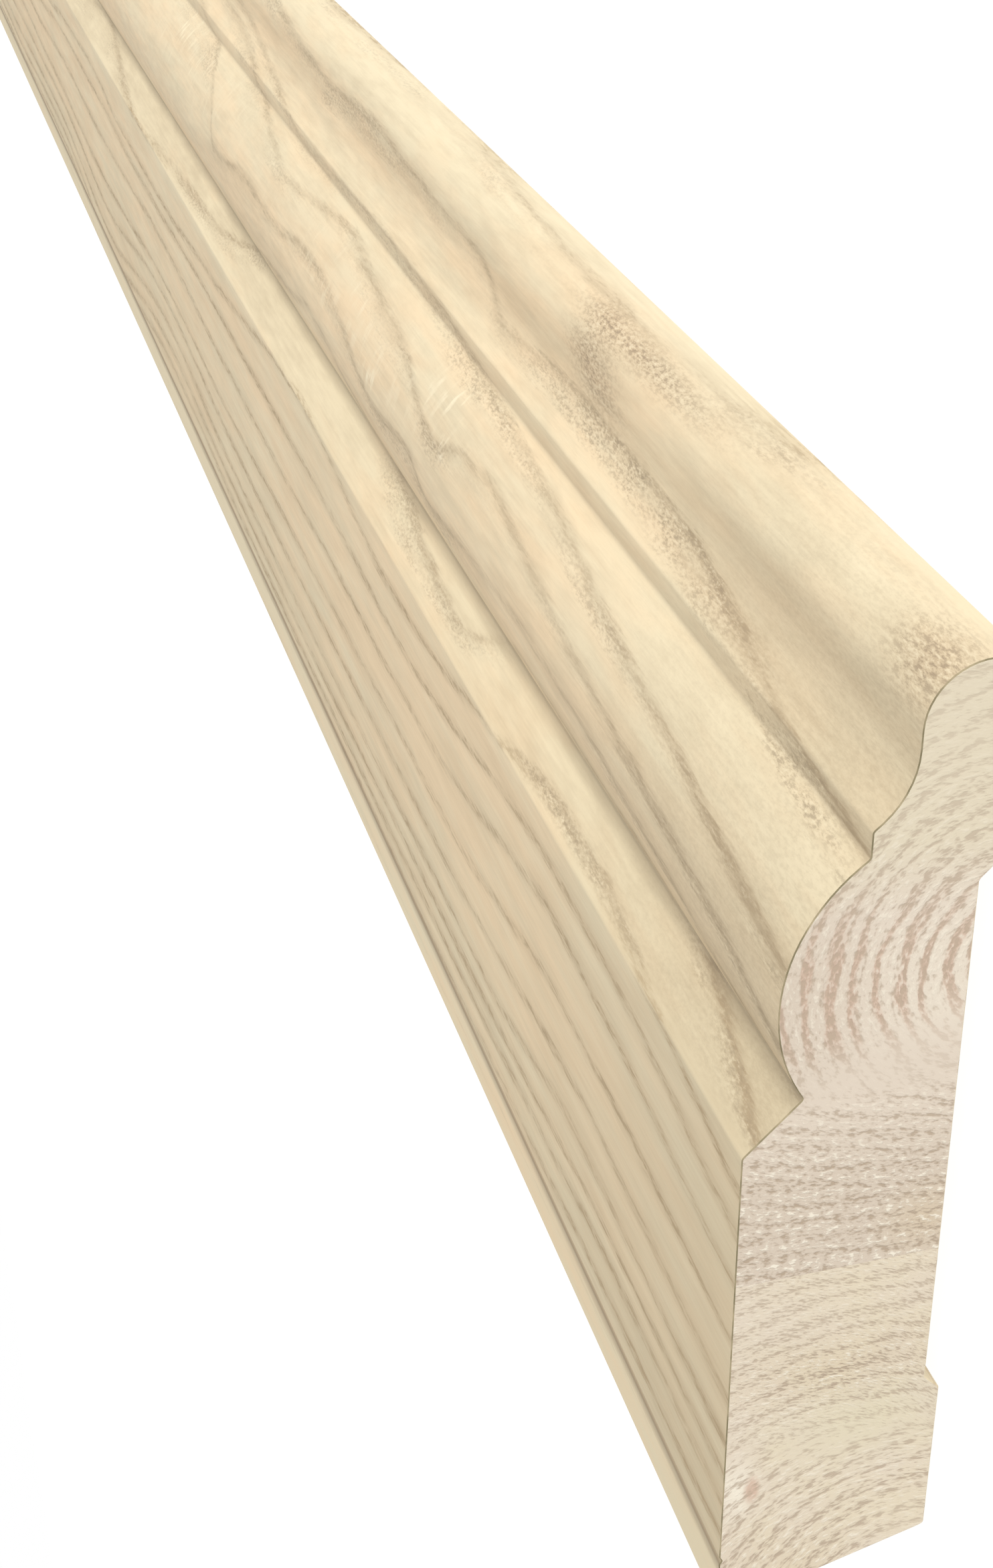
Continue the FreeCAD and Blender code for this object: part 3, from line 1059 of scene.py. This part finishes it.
heart = rise.slope(*HEART_ABOVE) * rise.slope(*HEART_BELOW)
shaded = rise.slope(*DIM_BELOW).or_more(spot(section, *DIM_SPOT) * DIM_SHARE)
upper_body = layered(
    between(rise.slope(*HEAD_ABOVE), UPPER_WOOD, HEAD_WOOD),
    (heart * deep.slope(*PALE_TO_BACK), FUZZ_WOOD),
    (shaded, DASH_WOOD),
    (spot(section, *OCHRE_SPOT) * OCHRE_SHARE, OCHRE_WOOD),
)
print("upper stave:", len(tree.nodes), "nodes so far")

# %% Sawn end: colour of the lower stave
LOWER_WOOD = (0.740, 0.644, 0.486, 1.0)
GREEN_WOOD = (0.700, 0.640, 0.460, 1.0)
LOWER_BLOTCHES = ((80, 170, 170), 3.0, 0.6)
LOWER_BLOTCH_CUT = (0.38, 0.62)
BLOTCH_SHARE = 0.5
FRONT_EDGE = (5, 1, 0.0, 0.5)
GREEN_SPOT, GREEN_SHARE = ((13, 20.5), (12, 7)), 0.55
ARCH_SPOT, ARCH_SHARE = ((10, 27.5), (14, 5.5)), 0.4
FOOT_RAMP, FOOT_FRONT = (12, 1, 0.0, 0.4), (15, 8)
PALE_SPOT = ((1.3, 15), (2.4, 5))

blotches = speckle(place, *LOWER_BLOTCHES).slope(*LOWER_BLOTCH_CUT)
lower_body = layered(
    between(blotches * BLOTCH_SHARE, LOWER_WOOD, UPPER_WOOD),
    (deep.slope(*FRONT_EDGE), UPPER_WOOD),
    (spot(section, *GREEN_SPOT) * GREEN_SHARE, GREEN_WOOD),
    (spot(section, *ARCH_SPOT) * ARCH_SHARE, OCHRE_WOOD),
    (rise.slope(*FOOT_RAMP) * deep.slope(*FOOT_FRONT), OCHRE_WOOD),
    (spot(section, *PALE_SPOT), FUZZ_WOOD),
)
print("lower stave:", len(tree.nodes), "nodes so far")

# %% Sawn end: reddened rings, ticks and finish
RED_WOOD = (0.600, 0.408, 0.305, 1.0)
RED_LATENESS = (0.45, 0.8)
RED_BREAKS = (0.48, 0.66, 0.05, 1.0)
RED_SHARE = 0.8
RED_SPOT, RED_SPOT_RAMP = ((2.7, 14.7), (1.0, 2.2)), (0.1, 0.6, 0.0, 0.75)
DARK_TICK_RAMP = (0.59, 0.77, 0.0, 0.85)
FUZZ_TICK_RAMP = (0.50, 0.36, 0.0, 0.7)
SAWN_DEPTH = 0.00012

reddened = heart * lateness(upper_rings).slope(*RED_LATENESS) * ticks.slope(*RED_BREAKS)
reddened = reddened * (round_strength - in_rows)
red_spot = spot(section, *RED_SPOT).slope(*RED_SPOT_RAMP)
dark_ticks = ticks.slope(*DARK_TICK_RAMP) * strength
pale_ticks = ticks.slope(*FUZZ_TICK_RAMP) * (strength * strength)
body = layered(
    between(in_lower, upper_body, lower_body),
    ((reddened * RED_SHARE).or_more(red_spot), RED_WOOD),
    (dark_ticks, DASH_WOOD),
    (pale_ticks, FUZZ_WOOD),
)
tree.links.new(body, shader.inputs["Base Color"])
raise_by(tree, shader, pale_ticks - dark_ticks, SAWN_DEPTH)
board_mesh.materials.append(sawn)
print("sawn end has", len(tree.nodes), "nodes")

# %% [markdown]
# ## The crushed arris
#
# Round each sawn end the fibres are pressed over, and the narrow strip there is painted as a thin dark
# olive-grey outline. It is a finish of its own on the narrow strip of the mesh that was turned in, broken
# up a little along its length.

# %% Crushed arris
CRUSHED_ROUGHNESS, CRUSHED_SPECULAR = 0.8, 0.1
ARRIS_DARK = (0.230, 0.195, 0.115, 1.0)
ARRIS_WORN = (0.430, 0.355, 0.225, 1.0)
ARRIS_WEAR = ((200, 320, 320), 3.0, 0.6)
WEAR_CUT = (0.42, 0.66)

crushed, tree, shader, place = new_finish("crushed_arris", CRUSHED_ROUGHNESS, CRUSHED_SPECULAR)
worn = speckle(place, *ARRIS_WEAR).slope(*WEAR_CUT)
tree.links.new(between(worn, ARRIS_DARK, ARRIS_WORN), shader.inputs["Base Color"])
board_mesh.materials.append(crushed)
print("crushed arris has", len(tree.nodes), "nodes")

# %% Which faces get which finish
PLANED, SAWN, CRUSHED = 0, 1, 2

on_moulded_side = np.arange(around) < len(down)
rim_finish = np.where(on_moulded_side, CRUSHED, PLANED)
finish_of = np.full(len(board_mesh.polygons), PLANED, dtype=np.int32)
finish_of[:around] = rim_finish
finish_of[len(quads) - around:len(quads)] = rim_finish
finish_of[len(quads):] = SAWN
board_mesh.polygons.foreach_set("material_index", finish_of)
print("faces by finish:", np.bincount(finish_of).tolist())

# %% [markdown]
# ## A map for the exported model
#
# The exported model paints the finish into one square picture, so every face needs its place on it. The
# long faces are cut into three stretches and laid one above the other, then come the two narrow rims, and
# the two ends get a strip of their own at a larger scale, because their pattern is finer. All distances on
# the map are counted in its pixels, and divided by its side at the end.

# %% Map of the long faces
MAP_SIDE = 1024
MARGIN = 8
BETWEEN = 5
FACE_SCALE = (MAP_SIDE - 2 * MARGIN) / STRETCH

over_first = np.append(over[:-1], 0.0)
over_second = np.append(over[1:], over[0])
starts, stops = stations[:-1, None], stations[1:, None]
stretch_of = np.floor(((starts + stops) / 2 + end) / STRETCH)
stretch_foot = MARGIN + stretch_of * (girth * FACE_SCALE + BETWEEN)


def face_corner(place, over_face):
    """Pixel of a corner: distance from its stretch's start across, and distance over the face up."""
    across = MARGIN + (place + end - stretch_of * STRETCH) * FACE_SCALE
    return np.stack(np.broadcast_arrays(across, stretch_foot + over_face[None, :] * FACE_SCALE), axis=-1)


map_corners = np.stack([
    face_corner(starts, over_first),
    face_corner(starts, over_second),
    face_corner(stops, over_second),
    face_corner(stops, over_first),
], axis=2)
print("one stretch takes", round(girth * FACE_SCALE), "pixels of the map")

# %% Map of the rims and the ends
RIM_SCALE = (MAP_SIDE - 2 * MARGIN) / girth
RIM_WIDTH = 4
END_SCALE = (MAP_SIDE - 2 * MARGIN - BETWEEN) / 2 / HEIGHT

rim_foot = MARGIN + STRETCHES * (girth * FACE_SCALE + BETWEEN)
first, second = MARGIN + over_first * RIM_SCALE, MARGIN + over_second * RIM_SCALE
for strip, foot in ((0, rim_foot), (-1, rim_foot + RIM_WIDTH + BETWEEN)):
    map_corners[strip, :, :, 0] = np.stack([first, second, second, first], axis=1)
    map_corners[strip, :, :, 1] = foot + RIM_WIDTH * np.array([0, 0, 1, 1])
end_foot = rim_foot + 2 * (RIM_WIDTH + BETWEEN)
end_map = np.stack([MARGIN + outline[:, 1] * END_SCALE, end_foot + outline[:, 0] * END_SCALE], axis=1)
second_end = end_map + [HEIGHT * END_SCALE + BETWEEN, 0]
every_corner = np.concatenate([map_corners.reshape(-1, 2), end_map[::-1], second_end]) / MAP_SIDE
face_map = board_mesh.uv_layers.new(name="OFBake")
face_map.data.foreach_set("uv", every_corner.astype(np.float32).ravel())
print(f"the map reaches {every_corner.min():.3f} to {every_corner.max(axis=0).round(3).tolist()}")

# %% [markdown]
# ## Handing the board over
#
# The new surface stands for the plain solid, which is hidden, and rides on the same body.

# %% The board
board = bpy.data.objects.new("moulded_board", board_mesh)
bpy.context.scene.collection.objects.link(board)
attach(board, "root")
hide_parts("skirting_board")
print("the board has", len(board_mesh.vertices), "points and", len(board_mesh.materials), "finishes")
